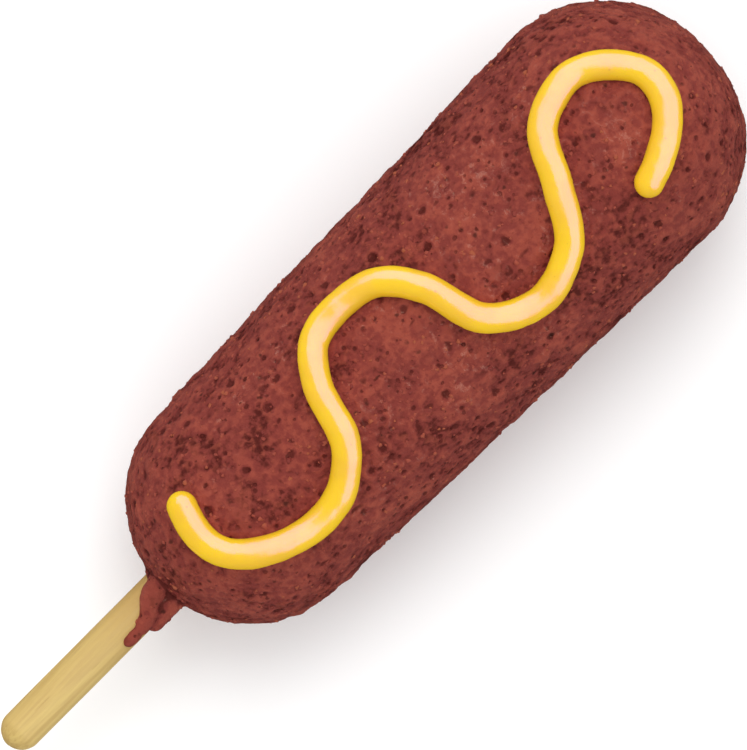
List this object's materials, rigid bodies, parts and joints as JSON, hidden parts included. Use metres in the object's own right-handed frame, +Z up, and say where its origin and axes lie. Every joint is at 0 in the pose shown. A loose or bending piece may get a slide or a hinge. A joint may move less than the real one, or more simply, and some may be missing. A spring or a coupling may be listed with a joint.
{
  "type": "corn dog",
  "caption": "Battered and fried sausage on a round wooden stick, lying down, with a squeezed wavy line of mustard on top and batter set on the stick.",
  "frame": {"origin": "on the resting plane, under the middle of the whole length", "axes": "+X along the body from the stick to the tip, +Z up through the mustard line, +Y to the left seen from the stick"},
  "size_m": [0.1496, 0.0424, 0.0449],
  "materials": {
    "fried_batter": "deep brown fried batter crust, dry and finely pitted with a light oil sheen",
    "wood_stick": "plain pale wood, uncoated",
    "mustard": "wet glossy mustard"
  },
  "bodies": {
    "root": {"crust": "fried_batter", "stick": "wood_stick", "mustard": "mustard"}
  },
  "joints": []
}
